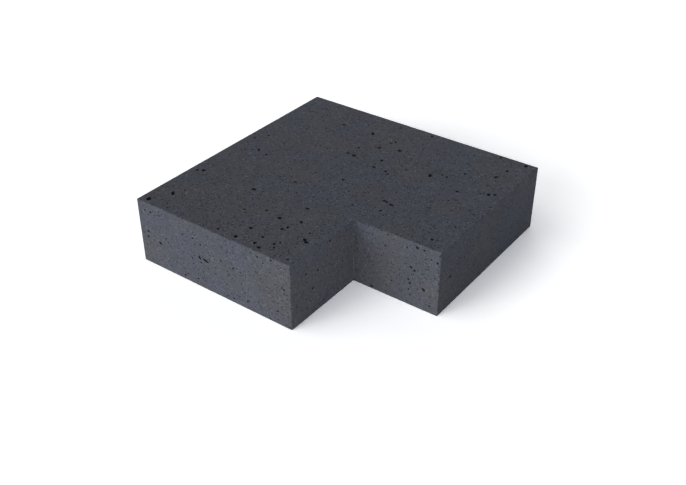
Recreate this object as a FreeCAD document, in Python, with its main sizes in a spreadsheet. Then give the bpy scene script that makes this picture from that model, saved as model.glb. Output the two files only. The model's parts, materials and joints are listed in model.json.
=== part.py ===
import FreeCAD, Part
import os

import Sketcher

# Precast concrete corner step, cast whole in a mould: an L-shaped block that carries a flight of
# block steps round a right-angled corner. All lengths are in millimetres.
#
# Frame: +Z up, origin on the bed face, in the middle of the square that the L is cut from.
# The L's back corner is at -X +Y. One leg runs from it to -Y and the other to +X, and the notch
# between them opens to +X -Y. Each leg ends in a flat face, where a straight step butts on.

NODE = "corner_step"
PARTS_FOLDER = "parts"

# alias, value, what the size is
DIMENSIONS = [
    ("overall_width", 600.0, "outline along X, back face to the end of the +X leg"),
    ("overall_depth", 600.0, "outline along Y, back face to the end of the -Y leg"),
    ("left_leg_width", 400.0, "width along X of the leg that runs to -Y, its step's tread"),
    ("back_leg_width", 400.0, "width along Y of the leg that runs to +X, its step's tread"),
    ("step_height", 150.0, "rise of the step, bed face to tread face"),
    ("arris_radius", 2.0, "round on the tread's rim and on the upright corners"),
]

# The outline's edges in the order they are drawn, anticlockwise from the back corner
LEFT_EDGE, LEFT_LEG_END, NOTCH_SIDE, NOTCH_BACK, BACK_LEG_END, BACK_EDGE = range(6)
START, END = 1, 2
ORIGIN_POINT = (-1, 1)


def make_sheet(doc):
    """The driving dimensions, one a row: what each is, its value and its alias."""
    sheet = doc.addObject("Spreadsheet::Sheet", "Sizes")
    for row, (alias, value, meaning) in enumerate(DIMENSIONS, start=1):
        sheet.set(f"A{row}", meaning)
        sheet.set(f"B{row}", str(value))
        sheet.setAlias(f"B{row}", alias)
    doc.recompute()
    return sheet


def outline_corners(sheet):
    """The L's six corners, anticlockwise from the back corner."""
    left = -sheet.overall_width / 2
    right = sheet.overall_width / 2
    front = -sheet.overall_depth / 2
    back = sheet.overall_depth / 2
    notch_left = left + sheet.left_leg_width
    notch_back = back - sheet.back_leg_width
    plan = [
        (left, back),
        (left, front),
        (notch_left, front),
        (notch_left, notch_back),
        (right, notch_back),
        (right, back),
    ]
    return [FreeCAD.Vector(x, y, 0) for x, y in plan]


def draw_outline(body, sheet):
    """The L as a fully constrained sketch on the bed plane, its lengths tied to the sheet."""
    sketch = body.newObject("Sketcher::SketchObject", "Outline")
    bed_plane = next(plane for plane in body.Origin.OriginFeatures if plane.Role == "XY_Plane")
    sketch.AttachmentSupport = [(bed_plane, "")]
    sketch.MapMode = "FlatFace"

    corners = outline_corners(sheet)
    next_corners = corners[1:] + corners[:1]
    for corner, next_corner in zip(corners, next_corners):
        sketch.addGeometry(Part.LineSegment(corner, next_corner), False)
    for edge in range(len(corners)):
        next_edge = (edge + 1) % len(corners)
        sketch.addConstraint(Sketcher.Constraint("Coincident", edge, END, next_edge, START))
    for edge in (LEFT_EDGE, NOTCH_SIDE, BACK_LEG_END):
        sketch.addConstraint(Sketcher.Constraint("Vertical", edge))
    for edge in (LEFT_LEG_END, NOTCH_BACK, BACK_EDGE):
        sketch.addConstraint(Sketcher.Constraint("Horizontal", edge))
    # The front left and back right corners lie opposite each other about the origin
    centring = Sketcher.Constraint("Symmetric", LEFT_EDGE, END, BACK_LEG_END, END, *ORIGIN_POINT)
    sketch.addConstraint(centring)

    edge_lengths = {
        "overall_width": BACK_EDGE,
        "overall_depth": LEFT_EDGE,
        "left_leg_width": LEFT_LEG_END,
        "back_leg_width": BACK_LEG_END,
    }
    for alias, edge in edge_lengths.items():
        length = getattr(sheet, alias)
        constraint = sketch.addConstraint(Sketcher.Constraint("Distance", edge, length))
        sketch.renameConstraint(constraint, alias)
        sketch.setExpression(f"Constraints.{alias}", f"Sizes.{alias}")
    return sketch


def arris_edges(block, sheet):
    """Names of the edges that reach the tread: its rim and the upright corners. The bed's rim is
    the mould's open side, struck off flush, so it stays sharp."""
    names = []
    for number, edge in enumerate(block.Shape.Edges, start=1):
        highest = max(vertex.Z for vertex in edge.Vertexes)
        if highest > sheet.step_height / 2:
            names.append(f"Edge{number}")
    return names


def make_corner_step(doc, sheet):
    """The block: the L raised to the step's height, then its arrises rounded."""
    body = doc.addObject("PartDesign::Body", "CornerStep")
    body.Label = NODE
    outline = draw_outline(body, sheet)

    block = body.newObject("PartDesign::Pad", "Block")
    block.Profile = outline
    block.setExpression("Length", "Sizes.step_height")
    doc.recompute()

    arrises = body.newObject("PartDesign::Fillet", "Arrises")
    arrises.Base = (block, arris_edges(block, sheet))
    arrises.setExpression("Radius", "Sizes.arris_radius")
    body.Placement = FreeCAD.Placement()
    doc.recompute()
    return body


def check(doc, body):
    """Stops the build if a feature failed or the block isn't one valid solid; prints its size."""
    failed = [thing.Label for thing in doc.Objects if {"Invalid", "Error"} & set(thing.State)]
    if failed:
        raise RuntimeError(f"features failed: {failed}")
    shape = body.Shape
    if shape.isNull() or not shape.isValid() or len(shape.Solids) != 1:
        raise RuntimeError(f"{body.Label} isn't one valid solid")
    box = shape.BoundBox
    litres = shape.Volume / 1e6
    print(f"{body.Label}: {box.XLength:.1f} x {box.YLength:.1f} x {box.ZLength:.1f} mm, {litres:.3f} l")


def main():
    doc = FreeCAD.newDocument("CornerStep")
    sheet = make_sheet(doc)
    body = make_corner_step(doc, sheet)
    check(doc, body)
    os.makedirs(PARTS_FOLDER, exist_ok=True)
    body.Shape.exportStep(os.path.join(PARTS_FOLDER, f"{body.Label}.step"))


main()
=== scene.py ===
import json
import math

import bmesh
import bpy
from mathutils import Matrix, Vector, noise


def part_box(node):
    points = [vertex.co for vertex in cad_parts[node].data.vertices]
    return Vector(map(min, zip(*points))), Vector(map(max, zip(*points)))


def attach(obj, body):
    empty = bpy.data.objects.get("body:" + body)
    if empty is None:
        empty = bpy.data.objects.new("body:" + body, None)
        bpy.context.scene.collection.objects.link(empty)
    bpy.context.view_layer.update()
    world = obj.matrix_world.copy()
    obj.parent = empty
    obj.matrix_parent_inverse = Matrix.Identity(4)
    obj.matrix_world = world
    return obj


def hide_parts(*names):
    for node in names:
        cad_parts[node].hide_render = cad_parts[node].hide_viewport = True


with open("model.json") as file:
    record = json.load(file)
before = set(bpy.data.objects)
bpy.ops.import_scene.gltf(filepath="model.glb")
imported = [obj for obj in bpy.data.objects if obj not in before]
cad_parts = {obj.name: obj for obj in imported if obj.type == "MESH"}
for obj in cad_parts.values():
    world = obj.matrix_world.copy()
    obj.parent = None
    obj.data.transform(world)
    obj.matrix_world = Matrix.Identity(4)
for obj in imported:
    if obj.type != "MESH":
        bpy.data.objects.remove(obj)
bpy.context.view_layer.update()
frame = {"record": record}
cadLow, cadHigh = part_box("corner_step")
mm = 0.001

# What each face of the block is, kept as a number on the face
bedFace, treadFace, sideFace, arrisFace, voidWall = range(5)


def linearColour(hexText):
    # sRGB hex to the linear numbers that Blender's sockets take
    channels = [int(hexText[i:i + 2], 16) / 255 for i in (1, 3, 5)]
    return [c / 12.92 if c <= 0.04045 else ((c + 0.055) / 1.055) ** 2.4 for c in channels] + [1.0]


def addNode(tree, kind, settings=None, inputs=None, output=None):
    # adds a node with its settings, values and links, and returns the output that is asked for
    node = tree.nodes.new(kind)
    for name, value in (settings or {}).items():
        setattr(node, name, value)
    for key, value in (inputs or {}).items():
        named = [s for s in node.inputs if s.enabled and key in (s.name, s.identifier)]
        socket = node.inputs[key] if isinstance(key, int) else named[0]
        if isinstance(value, bpy.types.NodeSocket):
            tree.links.new(value, socket)
        else:
            socket.default_value = value
    shown = [s for s in node.outputs if s.enabled]
    if output:
        return next(s for s in shown if output in (s.name, s.identifier))
    return shown[0] if shown else node


def linkToScene(piece):
    bpy.context.scene.collection.objects.link(piece)
    return piece


def outwardAt(azimuth, elevation):
    # the way out from the block, for degrees from -Y towards +X and degrees above the floor
    around, above = math.radians(azimuth), math.radians(elevation)
    return Vector((math.sin(around) * math.cos(above), -math.cos(around) * math.cos(above),
                   math.sin(above)))


def turnInwards(thing, outward):
    # a camera or a lamp that stands out there looks back along the same line
    thing.rotation_euler = (-outward).to_track_quat("-Z", "Y").to_euler()


# The camera, at the photograph's viewing angle
photoView = {
    "sensorWidth": 36,                   # mm
    "lens": 48.22,                       # mm
    "azimuth": 36.33,                    # degrees from -Y towards +X
    "elevation": 34.16,                  # degrees above the floor
    "distance": 2.0009,                  # m
    "looksAt": (1.1 * mm, -1.6 * mm, 0),
}


def addCamera():
    lens = bpy.data.cameras.new("photoCamera")
    lens.sensor_width = photoView["sensorWidth"]
    lens.lens = photoView["lens"]
    outward = outwardAt(photoView["azimuth"], photoView["elevation"])
    camera = linkToScene(bpy.data.objects.new("photoCamera", lens))
    camera.location = Vector(photoView["looksAt"]) + photoView["distance"] * outward
    turnInwards(camera, outward)
    bpy.context.scene.camera = camera


# The block as it leaves the mould, before its air voids are cut
castBlock = {
    "arrisRadius": 2 * mm,
    "arrisSegments": 4,
    "arrisProfile": 0.5,       # round
}

# How each face came out of the mould, and how it is painted for the light on it. The first three are
# shares of the scattered voids, pinholes and nicks, sand says how much of it shows through the cement
# skin, and the last is painted light and shade: the face's skin painted lighter or darker for how the
# light falls on it. The faces that have chosen voids get fewer scattered ones.
castFaces = {
    "tread": {"voids": 0.25, "pinholes": 1.0, "nicks": 0.0, "sand": 1.0, "tone": 0.95},
    "bed": {"voids": 0.3, "pinholes": 0.3, "nicks": 0.0, "sand": 0.6, "tone": 1.0},
    "leftLegEnd": {"voids": 0.25, "pinholes": 1.0, "nicks": 0.0, "sand": 0.84, "tone": 1.03},
    # painted light: the wall inside the notch is painted lighter for the light that the floor throws back
    # into it
    "leftNotchWall": {"voids": 0.15, "pinholes": 0.5, "nicks": 0.0, "sand": 0.8, "tone": 1.17},
    "backNotchWall": {"voids": 0.35, "pinholes": 0.7, "nicks": 0.0, "sand": 0.68, "tone": 0.98},
    "backLegEnd": {"voids": 0.0, "pinholes": 0.3, "nicks": 0.0, "sand": 0.68, "tone": 0.91},
    "leftFlank": {"voids": 1.0, "pinholes": 0.9, "nicks": 0.0, "sand": 0.85, "tone": 1.0},
    "backFlank": {"voids": 1.0, "pinholes": 0.9, "nicks": 0.0, "sand": 0.85, "tone": 1.0},
    "arris": {"voids": 0.0, "pinholes": 0.0, "nicks": 1.0, "sand": 1.0, "tone": 1.0},
}


def notchCorner():
    # each leg's end is centred on its mount, so twice that less the outer face is the notch's wall
    mounts = {m["name"]: m["pos_m"] for m in frame["record"]["mounts"]}
    wallX = 2 * mounts["left_leg_end"][0] - cadLow.x
    wallY = 2 * mounts["back_leg_end"][1] - cadHigh.y
    return wallX, wallY


def blockFaces():
    # where each flat face's measuring starts, which way it runs across, which way it looks, and how
    # far it reaches across
    wallX, wallY = notchCorner()
    size = cadHigh - cadLow
    plusX, plusY, plusZ = Vector((1, 0, 0)), Vector((0, 1, 0)), Vector((0, 0, 1))
    return {
        "tread": (Vector((0, 0, cadHigh.z)), plusX, plusZ, (cadLow.x, cadHigh.x)),
        "bed": (Vector((0, 0, cadLow.z)), plusX, -plusZ, (cadLow.x, cadHigh.x)),
        "leftLegEnd": (cadLow.copy(), plusX, -plusY, (0, wallX - cadLow.x)),
        "leftNotchWall": (Vector((wallX, cadLow.y, cadLow.z)), plusY, plusX, (0, wallY - cadLow.y)),
        "backNotchWall": (Vector((wallX, wallY, cadLow.z)), plusX, -plusY, (0, cadHigh.x - wallX)),
        "backLegEnd": (Vector((cadHigh.x, wallY, cadLow.z)), plusY, plusX, (0, cadHigh.y - wallY)),
        "leftFlank": (Vector((cadLow.x, cadHigh.y, cadLow.z)), -plusY, -plusX, (0, size.y)),
        "backFlank": (Vector((cadHigh.x, cadHigh.y, cadLow.z)), -plusX, plusY, (0, size.x)),
    }


def nearestFace(point):
    # the flat face of the block that a point lies on
    def distance(name):
        corner, across, outward, (start, end) = blockFaces()[name]
        along = (point - corner).dot(across)
        return abs((point - corner).dot(outward)) + max(start - along, along - end, 0)
    return min(blockFaces(), key=distance)


def faceKind(normal):
    squareOn = 0.999           # how nearly a flat face looks straight along an axis
    if normal.z < -squareOn:
        return bedFace
    if normal.z > squareOn:
        return treadFace
    if max(abs(normal.x), abs(normal.y)) > squareOn:
        return sideFace
    return arrisFace


def buildBlock():
    wallX, wallY = notchCorner()
    outline = [(cadLow.x, cadHigh.y), (cadLow.x, cadLow.y), (wallX, cadLow.y),
               (wallX, wallY), (cadHigh.x, wallY), (cadHigh.x, cadHigh.y)]
    shape = bmesh.new()
    bed = [shape.verts.new((x, y, cadLow.z)) for x, y in outline]
    tread = [shape.verts.new((x, y, cadHigh.z)) for x, y in outline]
    shape.faces.new(reversed(bed))
    shape.faces.new(tread)
    for here, after in zip(range(len(outline)), [*range(1, len(outline)), 0]):
        shape.faces.new((bed[here], bed[after], tread[after], tread[here]))
    # the bed's own edges stay sharp
    halfway = (cadLow.z + cadHigh.z) / 2
    mouldedEdges = [e for e in shape.edges if max(v.co.z for v in e.verts) > halfway]
    bmesh.ops.bevel(shape, geom=mouldedEdges, offset=castBlock["arrisRadius"], offset_type="OFFSET",
                    segments=castBlock["arrisSegments"], profile=castBlock["arrisProfile"], affect="EDGES")
    kindLayer = shape.faces.layers.int.new("faceKind")
    shareLayers = {share: shape.faces.layers.float.new(share) for share in castFaces["arris"]}
    for face in shape.faces:
        face[kindLayer] = faceKind(face.normal)
        isArris = face[kindLayer] == arrisFace
        name = "arris" if isArris else nearestFace(face.calc_center_median())
        for share, layer in shareLayers.items():
            face[layer] = castFaces[name][share]
    mesh = bpy.data.meshes.new("cornerStep")
    shape.to_mesh(mesh)
    shape.free()
    return linkToScene(bpy.data.objects.new("cornerStep", mesh))


# The air voids that show most, each at its own place: (across, up, long, wide) in mm, and the long
# way's turn in degrees. On the tread, across and up are measured from the block's middle towards +X
# and +Y, and on a side from its lower left corner, as seen from outside.
chosenVoids = {
    "tread": [
        (-75, 217, 13, 7.5, -55), (-25, 171, 9, 7.5, -55), (19, 186, 9.5, 8, -55),
        (-16, 203, 6, 5, -55), (-10, 214, 6, 5, -55), (-62, 144, 7, 6, -55), (-67, 110, 8.5, 6.5, 20),
        (-50, 108, 12, 7.5, -10), (12, 126, 7.5, 7, -55), (45, 91, 7, 6, -55), (55, 84, 6.5, 6, -55),
        (131, 133, 11, 8, -55), (150, 150, 6, 5.5, -55), (187, 181, 6, 5.5, -55),
        (247, 210, 11, 6.5, 60), (254, 245, 8, 6.5, -55), (276, 289, 12, 8, -55),
        (269, 137, 10, 7.5, -55), (280, 144, 7.5, 7, -55), (211, 110, 7.5, 6.5, -55),
        (114, -10, 15, 5.5, -12), (131, -14, 13, 6.5, -12), (126, -45, 7, 7, -55),
        (-132, -131, 9, 9, -55), (25, -171, 7.5, 7, -55), (-19, -184, 8, 8, -55),
        (-58, -178, 6, 6, -55), (15, -201, 7, 7, -55), (10, -212, 7.5, 7, -55),
        (68, -215, 8.5, 7, -55), (76, -220, 9, 7.5, -55), (62, -192, 5, 4.5, -55),
        (-2, -255, 6.5, 6, -55), (37, -250, 6, 5, -55), (31, -260, 7, 5, -55), (38, -270, 6, 5, -55),
        (-1, -279, 8, 7, -55), (15, -286, 8, 7.5, -55), (-90, -284, 7, 5.5, -55),
        (-45, -284, 9, 8, -55), (83, -284, 5.5, 4.5, -55), (-279, -285, 12, 10, -55),
        (-255, -241, 13, 7, -55), (-270, -135, 10, 8, -55), (-282, -142, 8, 7, -55),
        (-235, 5, 12, 4.5, -55), (-262, 70, 7, 5.5, -55), (276, -8, 5.5, 5, -55),
        (262, -71, 7, 6, -55), (41, 286, 8, 5, -55), (214, 291, 9, 5, -55),
    ],
    "leftLegEnd": [
        (167, 73, 8.5, 6, -20), (183, 72, 14, 6, -15), (170, 62, 4.5, 4, 0), (37, 131, 6, 5.5, 0),
        (62, 132, 4, 3.5, 0), (21, 130, 5, 4.5, 0), (23, 80, 6.5, 6, 0), (21, 66, 6.5, 5.5, 0),
        (172, 106, 4, 4, 0), (152, 114, 5, 4, 0), (225, 89, 3.5, 4.5, 0), (257, 85, 4.5, 4, 0),
        (290, 19, 5, 4.5, 0), (366, 31, 6, 4, 0), (355, 145, 5, 4, 0), (322, 139, 4.5, 4.5, 0),
        (384, 90, 5, 4, 0), (120, 10, 5.5, 5, 0), (146, 64, 4.5, 4, 0), (253, 10, 4.5, 4.5, 0),
    ],
    "leftNotchWall": [
        (46, 106, 5, 4.5, 0), (83, 94, 5, 4.5, 0), (66, 61, 5.5, 5, 0), (163, 70, 4.5, 4, 0),
    ],
    "backNotchWall": [
        (80, 144, 5, 3.5, 0), (148, 141, 7, 6, 0), (164, 141, 5, 4, 0), (180, 126, 3.5, 3.5, 0),
        (125, 132, 3, 6, 0), (194, 124, 5, 5, 0), (136, 91, 6, 5, 0), (144, 86, 5.5, 5, 0),
        (131, 60, 4, 4, 0), (135, 52, 6.5, 5, 0), (133, 37, 3.5, 3.5, 0), (137, 25, 3.5, 3.5, 0),
        (35, 72, 4, 3.5, 0), (75, 117, 3.5, 4, 0), (46, 6, 8, 5, 0), (182, 17, 4, 4, 0),
    ],
    "backLegEnd": [
        (42, 72, 9, 4.5, 10),
    ],
}

chosenShape = {
    "mouth": 1.1,              # its size over the size that shows, as its rim is ragged
    "depthToWidth": 1.25,      # deep for its mouth, so that it reads black
    "sink": 0.2,               # how far its middle lies below the face, as a share of half its depth
    "ruggedness": 0.44,        # how far the noise moves its wall, as a share of its size
    "lumpsAcross": 1.6,
    "noisePerMetre": 200,      # how far the noise moves on from void to void, so that none are alike
    "large": 8,                # mm; a longer void gets finer facets
    "facets": 2,
    "fineFacets": 3,
}


def buildChosenVoids():
    # one closed rugged lump a void, joined in one mesh that the block is cut with
    shape = bmesh.new()
    for faceName, voids in chosenVoids.items():
        corner, across, outward = blockFaces()[faceName][:3]
        up = outward.cross(across)
        for acrossAt, upAt, length, width, turn in voids:
            length *= chosenShape["mouth"]
            width *= chosenShape["mouth"]
            depth = chosenShape["depthToWidth"] * width
            middle = corner + (across * acrossAt + up * upAt - outward * chosenShape["sink"] * depth / 2) * mm
            turned = Matrix((across, up, outward)).transposed() @ Matrix.Rotation(math.radians(turn), 3, "Z")
            fineness = chosenShape["fineFacets" if length >= chosenShape["large"] else "facets"]
            lump = bmesh.ops.create_icosphere(shape, subdivisions=fineness, radius=1)["verts"]
            for vertex in lump:
                direction = vertex.co.copy()
                wave = noise.noise(direction * chosenShape["lumpsAcross"]
                                   + middle * chosenShape["noisePerMetre"])
                swell = 1 + chosenShape["ruggedness"] * wave
                halves = Vector((direction.x * length, direction.y * width, direction.z * depth)) / 2
                vertex.co = middle + turned @ halves * swell * mm
    mesh = bpy.data.meshes.new("chosenVoids")
    shape.to_mesh(mesh)
    shape.free()
    mesh.attributes.new("faceKind", "INT", "FACE").data.foreach_set("value", [voidWall] * len(mesh.polygons))
    for share in castFaces["arris"]:
        mesh.attributes.new(share, "FLOAT", "FACE")
    return linkToScene(bpy.data.objects.new("chosenVoids", mesh))


# The other air voids, the pinholes and the nicks in the arrises: each row is one run of the tree
# over the block. Where names the share in castFaces that it follows, and Avoids the first of the
# kinds of face that its lumps keep clear of. A Skew over 1 makes the small ones common. Longest is
# the greatest length over the width, and Depth is the depth over the width.
scatteredVoids = [
    {"Where": "voids", "Seed": 11, "Spacing": 13 * mm, "Density": 800.0, "Smallest": 3 * mm,
     "Largest": 7 * mm, "Skew": 1.6, "Longest": 1.4, "Depth": 1.1, "Facets": 3, "Cluster": 70 * mm,
     "Avoids": arrisFace, "Clearance": 7 * mm},
    {"Where": "pinholes", "Seed": 23, "Spacing": 5.6 * mm, "Density": 7500.0, "Smallest": 1.2 * mm,
     "Largest": 3.2 * mm, "Skew": 1.7, "Longest": 1.5, "Depth": 1.2, "Facets": 1, "Cluster": 45 * mm,
     "Avoids": arrisFace, "Clearance": 3.2 * mm},
    {"Where": "nicks", "Seed": 37, "Spacing": 8 * mm, "Density": 16000.0, "Smallest": 0.9 * mm,
     "Largest": 3 * mm, "Skew": 2.5, "Longest": 1.8, "Depth": 0.7, "Facets": 2, "Cluster": 45 * mm,
     "Avoids": voidWall, "Clearance": 4 * mm},
]

# What the lumps of every run share
scatteredShape = {
    "clusters": {"From Min": 0.35, "From Max": 0.68,     # levels of the noise, from quiet to busy
                 "To Min": 0.12, "To Max": 1.0},         # and the share of voids that they get
    "sunk": 0.13,              # how far a lump's middle lies below the face, as a share of its depth
    "wavesPerMetre": 260.0,    # of the noise in its wall, so that a wave is about as long as a lump
    "push": 0.7,               # how far the noise moves the wall in all, as a share of the width
}


def startVoidTree():
    # an empty tree with its named inputs
    tree = bpy.data.node_groups.new("castAirVoids", "GeometryNodeTree")
    plugs = tree.interface
    plugs.new_socket("Geometry", in_out="OUTPUT", socket_type="NodeSocketGeometry")
    plugs.new_socket("Geometry", in_out="INPUT", socket_type="NodeSocketGeometry")
    plugs.new_socket("Where", in_out="INPUT", socket_type="NodeSocketString")
    for name in ("Seed", "Facets", "Avoids"):
        plugs.new_socket(name, in_out="INPUT", socket_type="NodeSocketInt")
    for name in ("Spacing", "Density", "Smallest", "Largest", "Skew", "Longest", "Depth", "Cluster",
                 "Clearance"):
        plugs.new_socket(name, in_out="INPUT", socket_type="NodeSocketFloat")
    plugs.new_socket("Material", in_out="INPUT", socket_type="NodeSocketMaterial")
    return tree, tree.nodes.new("NodeGroupInput").outputs


def scatterPoints(tree, given):
    # voids gather in loose clusters, with quiet places between them
    share = addNode(tree, "GeometryNodeInputNamedAttribute", {"data_type": "FLOAT"},
                    {"Name": given["Where"]})
    perCluster = addNode(tree, "ShaderNodeMath", {"operation": "DIVIDE"}, {0: 1.0, 1: given["Cluster"]})
    clusters = addNode(tree, "ShaderNodeTexNoise", {"noise_dimensions": "3D"},
                       {"Vector": addNode(tree, "GeometryNodeInputPosition"), "Scale": perCluster,
                        "Detail": 2.0})
    gathered = addNode(tree, "ShaderNodeMapRange", {}, {"Value": clusters, **scatteredShape["clusters"]})
    chanceHere = addNode(tree, "ShaderNodeMath", {"operation": "MULTIPLY"}, {0: share, 1: gathered})
    points = addNode(tree, "GeometryNodeDistributePointsOnFaces", {"distribute_method": "POISSON"},
                     {"Mesh": given["Geometry"], "Distance Min": given["Spacing"],
                      "Density Max": given["Density"], "Density Factor": chanceHere,
                      "Seed": given["Seed"]}, "Points")

    # a lump that met an arris or another void would leave loose crumbs, so those points go
    kindHere = addNode(tree, "GeometryNodeInputNamedAttribute", {"data_type": "INT"}, {"Name": "faceKind"})
    isAvoided = addNode(tree, "FunctionNodeCompare", {"data_type": "INT", "operation": "GREATER_EQUAL"},
                        {"A": kindHere, "B": given["Avoids"]})
    avoided = addNode(tree, "GeometryNodeSeparateGeometry", {"domain": "FACE"},
                      {"Geometry": given["Geometry"], "Selection": isAvoided}, "Selection")
    gap = addNode(tree, "GeometryNodeProximity", {"target_element": "FACES"}, {"Target": avoided},
                  "Distance")
    tooNear = addNode(tree, "FunctionNodeCompare", {"data_type": "FLOAT", "operation": "LESS_THAN"},
                      {"A": gap, "B": given["Clearance"]})
    clear = addNode(tree, "GeometryNodeDeleteGeometry", {"domain": "POINT"},
                    {"Geometry": points, "Selection": tooNear})
    return clear, points.node.outputs["Rotation"]


def drawLumpSize(tree, given):
    # each lump's width, then its length, width and depth together
    chance = addNode(tree, "FunctionNodeRandomValue", {"data_type": "FLOAT"}, {"Seed": given["Seed"]})
    skewed = addNode(tree, "ShaderNodeMath", {"operation": "POWER"}, {0: chance, 1: given["Skew"]})
    width = addNode(tree, "ShaderNodeMapRange", {},
                    {"Value": skewed, "To Min": given["Smallest"], "To Max": given["Largest"]})
    stretch = addNode(tree, "FunctionNodeRandomValue", {"data_type": "FLOAT"},
                      {"Min": 1.0, "Max": given["Longest"], "ID": 1, "Seed": given["Seed"]})
    length = addNode(tree, "ShaderNodeMath", {"operation": "MULTIPLY"}, {0: width, 1: stretch})
    deep = addNode(tree, "ShaderNodeMath", {"operation": "MULTIPLY"}, {0: width, 1: given["Depth"]})
    return width, addNode(tree, "ShaderNodeCombineXYZ", {}, {"X": length, "Y": width, "Z": deep})


def placeLumps(tree, given, points, facing, width, size):
    turn = addNode(tree, "FunctionNodeRandomValue", {"data_type": "FLOAT"},
                   {"Min": 0.0, "Max": math.tau, "Seed": given["Seed"]})
    spin = addNode(tree, "ShaderNodeCombineXYZ", {}, {"Z": turn})
    turned = addNode(tree, "FunctionNodeRotateRotation", {"rotation_space": "LOCAL"},
                     {"Rotation": facing, "Rotate By": spin})

    # a lump one unit across, whose middle lies a little below the face, so that its mouth is
    # narrower than its belly
    lump = addNode(tree, "GeometryNodeMeshIcoSphere", {}, {"Radius": 0.5, "Subdivisions": given["Facets"]},
                   "Mesh")
    sunk = addNode(tree, "GeometryNodeTransform", {},
                   {"Geometry": lump, "Translation": (0, 0, -scatteredShape["sunk"])})
    marked = addNode(tree, "GeometryNodeStoreNamedAttribute", {"data_type": "FLOAT", "domain": "POINT"},
                     {"Geometry": points, "Name": "voidWidth", "Value": width})
    lumps = addNode(tree, "GeometryNodeInstanceOnPoints", {},
                    {"Points": marked, "Instance": sunk, "Rotation": turned, "Scale": size})
    return addNode(tree, "GeometryNodeRealizeInstances", {}, {"Geometry": lumps})


def makeWalls(tree, lumps):
    # a noise pushes each lump's wall in and out
    ownWidth = addNode(tree, "GeometryNodeInputNamedAttribute", {"data_type": "FLOAT"}, {"Name": "voidWidth"})
    rugged = addNode(tree, "ShaderNodeTexNoise", {"noise_dimensions": "3D"},
                     {"Vector": addNode(tree, "GeometryNodeInputPosition"),
                      "Scale": scatteredShape["wavesPerMetre"], "Detail": 1.0})
    push = addNode(tree, "ShaderNodeMath", {"operation": "MULTIPLY_ADD"},
                   {0: rugged, 1: scatteredShape["push"], 2: -scatteredShape["push"] / 2})
    pushed = addNode(tree, "ShaderNodeMath", {"operation": "MULTIPLY"}, {0: push, 1: ownWidth})
    offset = addNode(tree, "ShaderNodeVectorMath", {"operation": "SCALE"},
                     {"Vector": addNode(tree, "GeometryNodeInputNormal"), "Scale": pushed})
    shaped = addNode(tree, "GeometryNodeSetPosition", {}, {"Geometry": lumps, "Offset": offset})

    # the block and the lumps have to hold the same values on their faces for the cut to keep them
    walls = addNode(tree, "GeometryNodeStoreNamedAttribute", {"data_type": "INT", "domain": "FACE"},
                    {"Geometry": shaped, "Name": "faceKind", "Value": voidWall})
    for shareName in castFaces["arris"]:
        walls = addNode(tree, "GeometryNodeStoreNamedAttribute", {"data_type": "FLOAT", "domain": "FACE"},
                        {"Geometry": walls, "Name": shareName, "Value": 0.0})
    return walls


def buildVoidTree():
    # scatters rugged lumps over the block's faces and cuts them out of it
    tree, given = startVoidTree()
    points, facing = scatterPoints(tree, given)
    width, size = drawLumpSize(tree, given)
    lumps = placeLumps(tree, given, points, facing, width, size)
    cut = addNode(tree, "GeometryNodeMeshBoolean", {"operation": "DIFFERENCE", "solver": "MANIFOLD"},
                  {"Mesh 1": given["Geometry"], "Mesh 2": makeWalls(tree, lumps)})
    whole = addNode(tree, "GeometryNodeRealizeInstances", {}, {"Geometry": cut})
    dressed = addNode(tree, "GeometryNodeSetMaterial", {}, {"Geometry": whole, "Material": given["Material"]})
    addNode(tree, "NodeGroupOutput", {}, {"Geometry": dressed})
    return tree


def cutVoids(block, concrete):
    # the chosen voids first, then each run of the tree, all turned into one plain mesh at the end
    chosen = buildChosenVoids()
    cutter = block.modifiers.new("chosenVoids", "BOOLEAN")
    cutter.operation = "DIFFERENCE"
    cutter.solver = "MANIFOLD"
    cutter.object = chosen
    tree = buildVoidTree()
    socketIds = {s.name: s.identifier for s in tree.interface.items_tree if s.in_out == "INPUT"}
    for run in scatteredVoids:
        scatter = block.modifiers.new("scatteredVoids", "NODES")
        scatter.node_group = tree
        for name, value in run.items():
            scatter[socketIds[name]] = value
        scatter[socketIds["Material"]] = concrete
    plain = bpy.data.meshes.new_from_object(block.evaluated_get(bpy.context.evaluated_depsgraph_get()))
    block.modifiers.clear()
    block.data = plain
    plain.name = "cornerStep"
    for helper in ("voids", "pinholes", "nicks", "voidWidth", "id"):
        plain.attributes.remove(plain.attributes[helper])
    bpy.data.objects.remove(chosen)
    return block


def finishMesh(block):
    # flat faces stay flat to their arrises, and only arrises and the walls of a void are shaded round
    flattest = math.radians(1)
    sharpest = math.radians(50)
    litresInCubicMetre = 1000
    shape = bmesh.new()
    shape.from_mesh(block.data)
    bmesh.ops.triangulate(shape, faces=[f for f in shape.faces if len(f.verts) > 4])
    kindLayer = shape.faces.layers.int["faceKind"]
    for face in shape.faces:
        face.smooth = True
    for edge in shape.edges:
        bend = edge.calc_face_angle(math.pi)
        kinds = [face[kindLayer] for face in edge.link_faces]
        besideFlat = min(kinds) <= sideFace and bend > flattest
        onRim = len(set(kinds)) > 1 and voidWall in kinds
        edge.smooth = not (besideFlat or onRim or bend > sharpest)
    openEdges = sum(len(edge.link_faces) != 2 for edge in shape.edges)
    shape.to_mesh(block.data)
    print("corner step:", len(shape.faces), "faces,", openEdges, "open edges,",
          round(shape.calc_volume() * litresInCubicMetre, 3), "litres")
    shape.free()
    block.data.calc_loop_triangles()
    print("corner step:", len(block.data.loop_triangles), "triangles")


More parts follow.
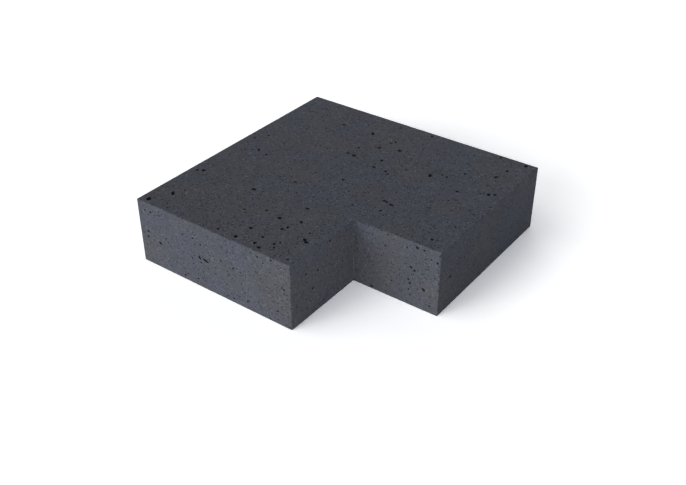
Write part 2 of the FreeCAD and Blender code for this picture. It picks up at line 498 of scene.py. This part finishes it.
# Dyed precast concrete, struck from a smooth mould: matt, faintly blue anthracite, with sand and
# stone grains just showing through the cement skin
castConcrete = {
    "matrix": "#46484F",
    "darkGrain": "#222328",
    "lightGrain": "#5C5D65",
    # painted shade: the colour of the walls of the voids, the same concrete painted dark for the shade inside
    # them
    "voidWall": "#26272B",
    "grainSize": 2.8 * mm,
    "greyGrains": (0.13, 0.88),               # the cells between these levels have the cement's grey
    "sandSize": 0.9 * mm,
    # partly painted shade: the skin is darker where the sand relief is low and lighter where it is high, as
    # sand speckle and as shade in its hollows
    "sandAndHollowShade": {"From Min": 0.25, "From Max": 0.75, "To Min": 0.84, "To Max": 1.16},
    "sandRelief": 0.25 * mm,
    "reliefStrength": 0.6,
    "mottleSize": 45 * mm,
    "mottleLight": {"From Min": 0.3, "From Max": 0.7, "To Min": 0.95, "To Max": 1.05},
    "tintSize": 110 * mm,
    "blueTint": (0.965, 0.995, 1.045, 1),     # where the dye is richest
    "greyTint": (1.035, 1.005, 0.955, 1),     # where it is thin
    "tintSpread": {"From Min": 0.35, "From Max": 0.65},
    "roughness": 0.85,
    "specular": 0.05,
}


def colourGrains(tree, place):
    # grains of stone and sand: a cell each, most of them the cement's own grey
    look = castConcrete
    cells = addNode(tree, "ShaderNodeTexVoronoi", {"feature": "F1"},
                    {"Vector": place, "Scale": 1 / look["grainSize"]}, "Color")
    cellTone = addNode(tree, "ShaderNodeSeparateColor", {}, {"Color": cells}, "Red")
    grains = addNode(tree, "ShaderNodeValToRGB", {}, {"Fac": cellTone}, "Color")
    stops = grains.node.color_ramp.elements
    stops[0].position = 0.0
    stops[0].color = linearColour(look["darkGrain"])
    stops[1].position = 1.0
    stops[1].color = linearColour(look["lightGrain"])
    for level in look["greyGrains"]:
        stops.new(level).color = linearColour(look["matrix"])
    sandShown = addNode(tree, "ShaderNodeAttribute", {"attribute_name": "sand"}, output="Fac")
    return addNode(tree, "ShaderNodeMix", {"data_type": "RGBA", "clamp_factor": False},
                   {"Factor_Float": sandShown, "A_Color": linearColour(look["matrix"]), "B_Color": grains},
                   "Result_Color")


def lightenSkin(tree, place, sand):
    # how light the skin is at each place: its sand, painted darker in the hollows of its relief, a soft
    # mottle, and the light and shade painted on its face
    look = castConcrete
    mottle = addNode(tree, "ShaderNodeTexNoise", {}, {"Vector": place, "Scale": 1 / look["mottleSize"],
                                                      "Detail": 3.0})
    # sand speckle, with painted shade in the low spots of the relief
    sandAndHollowShade = addNode(tree, "ShaderNodeMapRange", {}, {"Value": sand, **look["sandAndHollowShade"]})
    mottleLight = addNode(tree, "ShaderNodeMapRange", {}, {"Value": mottle, **look["mottleLight"]})
    # painted light and shade, one value for each face
    tone = addNode(tree, "ShaderNodeAttribute", {"attribute_name": "tone"}, output="Fac")
    mottleAndPaintedLight = addNode(tree, "ShaderNodeMath", {"operation": "MULTIPLY"}, {0: mottleLight, 1: tone})
    return addNode(tree, "ShaderNodeMath", {"operation": "MULTIPLY"}, {0: sandAndHollowShade, 1: mottleAndPaintedLight})


def tintDye(tree, place):
    # the dye is a little richer in some places than in others
    look = castConcrete
    dye = addNode(tree, "ShaderNodeTexNoise", {}, {"Vector": place, "Scale": 1 / look["tintSize"],
                                                   "Detail": 2.0})
    dyeShare = addNode(tree, "ShaderNodeMapRange", {}, {"Value": dye, **look["tintSpread"]})
    return addNode(tree, "ShaderNodeMix", {"data_type": "RGBA"},
                   {"Factor_Float": dyeShare, "A_Color": look["blueTint"], "B_Color": look["greyTint"]},
                   "Result_Color")


def concreteMaterial():
    look = castConcrete
    material = bpy.data.materials.new("dyedCastConcrete")
    material.use_nodes = True
    tree = material.node_tree
    tree.nodes.clear()
    place = addNode(tree, "ShaderNodeTexCoord", output="Object")
    sand = addNode(tree, "ShaderNodeTexNoise", {}, {"Vector": place, "Scale": 1 / look["sandSize"],
                                                    "Detail": 2.0})
    evenSkin = addNode(tree, "ShaderNodeVectorMath", {"operation": "SCALE"},
                       {"Vector": colourGrains(tree, place), "Scale": lightenSkin(tree, place, sand)})
    skin = addNode(tree, "ShaderNodeVectorMath", {"operation": "MULTIPLY"},
                   {0: evenSkin, 1: tintDye(tree, place)})

    # painted shade: the walls of the voids are painted one dark grey for the shade inside them, though they
    # are the same concrete
    justUnderVoidWall = voidWall - 0.5
    kind = addNode(tree, "ShaderNodeAttribute", {"attribute_name": "faceKind"}, output="Fac")
    paintedShadeInVoid = addNode(tree, "ShaderNodeMath", {"operation": "GREATER_THAN"}, {0: kind, 1: justUnderVoidWall})
    colour = addNode(tree, "ShaderNodeMix", {"data_type": "RGBA"},
                     {"Factor_Float": paintedShadeInVoid, "A_Color": skin, "B_Color": linearColour(look["voidWall"])},
                     "Result_Color")
    bump = addNode(tree, "ShaderNodeBump", {}, {"Strength": look["reliefStrength"],
                                                "Distance": look["sandRelief"], "Height": sand})
    surface = addNode(tree, "ShaderNodeBsdfPrincipled", {},
                      {"Base Color": colour, "Roughness": look["roughness"],
                       "Specular IOR Level": look["specular"], "Normal": bump})
    addNode(tree, "ShaderNodeOutputMaterial", {}, {"Surface": surface})
    return material


# The studio: a pale floor, four broad soft lamps and a faint light from all round.
# Azimuth is the way a lamp stands from the block, in degrees from -Y towards +X.
studio = {
    "floorSize": 24,               # m
    "floorWhite": 0.8,             # the floor as it lights the block
    "shownWhite": 1.28,            # the floor as the camera and reflections see it
    "shownGlow": "#5A5E66",        # added to that, so that the shadow stays pale and a little blue
    "lampSpread": 50,              # degrees across, as seen from the block
    "lamps": {                     # name: (azimuth, elevation, watts per square metre)
        "frontLamp": (-15, 12, 3.1),
        "rightLamp": (45, 12, 2.1),
        "backLamp": (-150, 30, 0.8),
        "highLamp": (-50, 50, 0.9),
    },
    "allRound": 0.1,
    "allRoundColour": "#FFFFFF",
}


def showsToCamera(tree):
    # 1 for what the camera, reflections and glass see, 0 for the light that falls on the block
    paths = addNode(tree, "ShaderNodeLightPath").node.outputs
    seen = paths["Is Camera Ray"]
    for ray in ("Is Glossy Ray", "Is Transmission Ray"):
        seen = addNode(tree, "ShaderNodeMath", {"operation": "ADD", "use_clamp": True},
                       {0: seen, 1: paths[ray]})
    return seen


def buildFloor():
    half = studio["floorSize"] / 2
    mesh = bpy.data.meshes.new("floor")
    mesh.from_pydata([(-half, -half, cadLow.z), (half, -half, cadLow.z),
                      (half, half, cadLow.z), (-half, half, cadLow.z)], [], [(0, 1, 2, 3)])
    floor = linkToScene(bpy.data.objects.new("floor", mesh))
    material = bpy.data.materials.new("paleFloor")
    material.use_nodes = True
    tree = material.node_tree
    tree.nodes.clear()
    plainWhite = addNode(tree, "ShaderNodeBsdfDiffuse", {}, {"Color": [studio["floorWhite"]] * 3 + [1]})
    shownWhite = addNode(tree, "ShaderNodeBsdfDiffuse", {}, {"Color": [studio["shownWhite"]] * 3 + [1]})
    glow = addNode(tree, "ShaderNodeEmission", {}, {"Color": linearColour(studio["shownGlow"])})
    shown = addNode(tree, "ShaderNodeAddShader", {}, {0: shownWhite, 1: glow})
    mixed = addNode(tree, "ShaderNodeMixShader", {}, {0: showsToCamera(tree), 1: plainWhite, 2: shown})
    addNode(tree, "ShaderNodeOutputMaterial", {}, {"Surface": mixed})
    mesh.materials.append(material)


def lightStudio():
    for name, (azimuth, elevation, power) in studio["lamps"].items():
        lamp = bpy.data.lights.new(name, "SUN")
        lamp.energy = power
        lamp.angle = math.radians(studio["lampSpread"])
        turnInwards(linkToScene(bpy.data.objects.new(name, lamp)), outwardAt(azimuth, elevation))
    world = bpy.data.worlds.new("studio")
    bpy.context.scene.world = world
    world.use_nodes = True
    tree = world.node_tree
    tree.nodes.clear()
    lighting = addNode(tree, "ShaderNodeBackground", {},
                       {"Color": linearColour(studio["allRoundColour"]), "Strength": studio["allRound"]})
    backdrop = addNode(tree, "ShaderNodeBackground", {}, {"Color": [1, 1, 1, 1], "Strength": 1.0})
    mixed = addNode(tree, "ShaderNodeMixShader", {}, {0: showsToCamera(tree), 1: lighting, 2: backdrop})
    addNode(tree, "ShaderNodeOutputWorld", {}, {"Surface": mixed})
    bpy.context.scene.view_settings.view_transform = "Standard"


addCamera()
print("camera placed")
concrete = concreteMaterial()
cornerStep = buildBlock()
cutVoids(cornerStep, concrete)
print("voids cut")
finishMesh(cornerStep)
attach(cornerStep, "root")
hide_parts("corner_step")
buildFloor()
lightStudio()
print("studio lit")
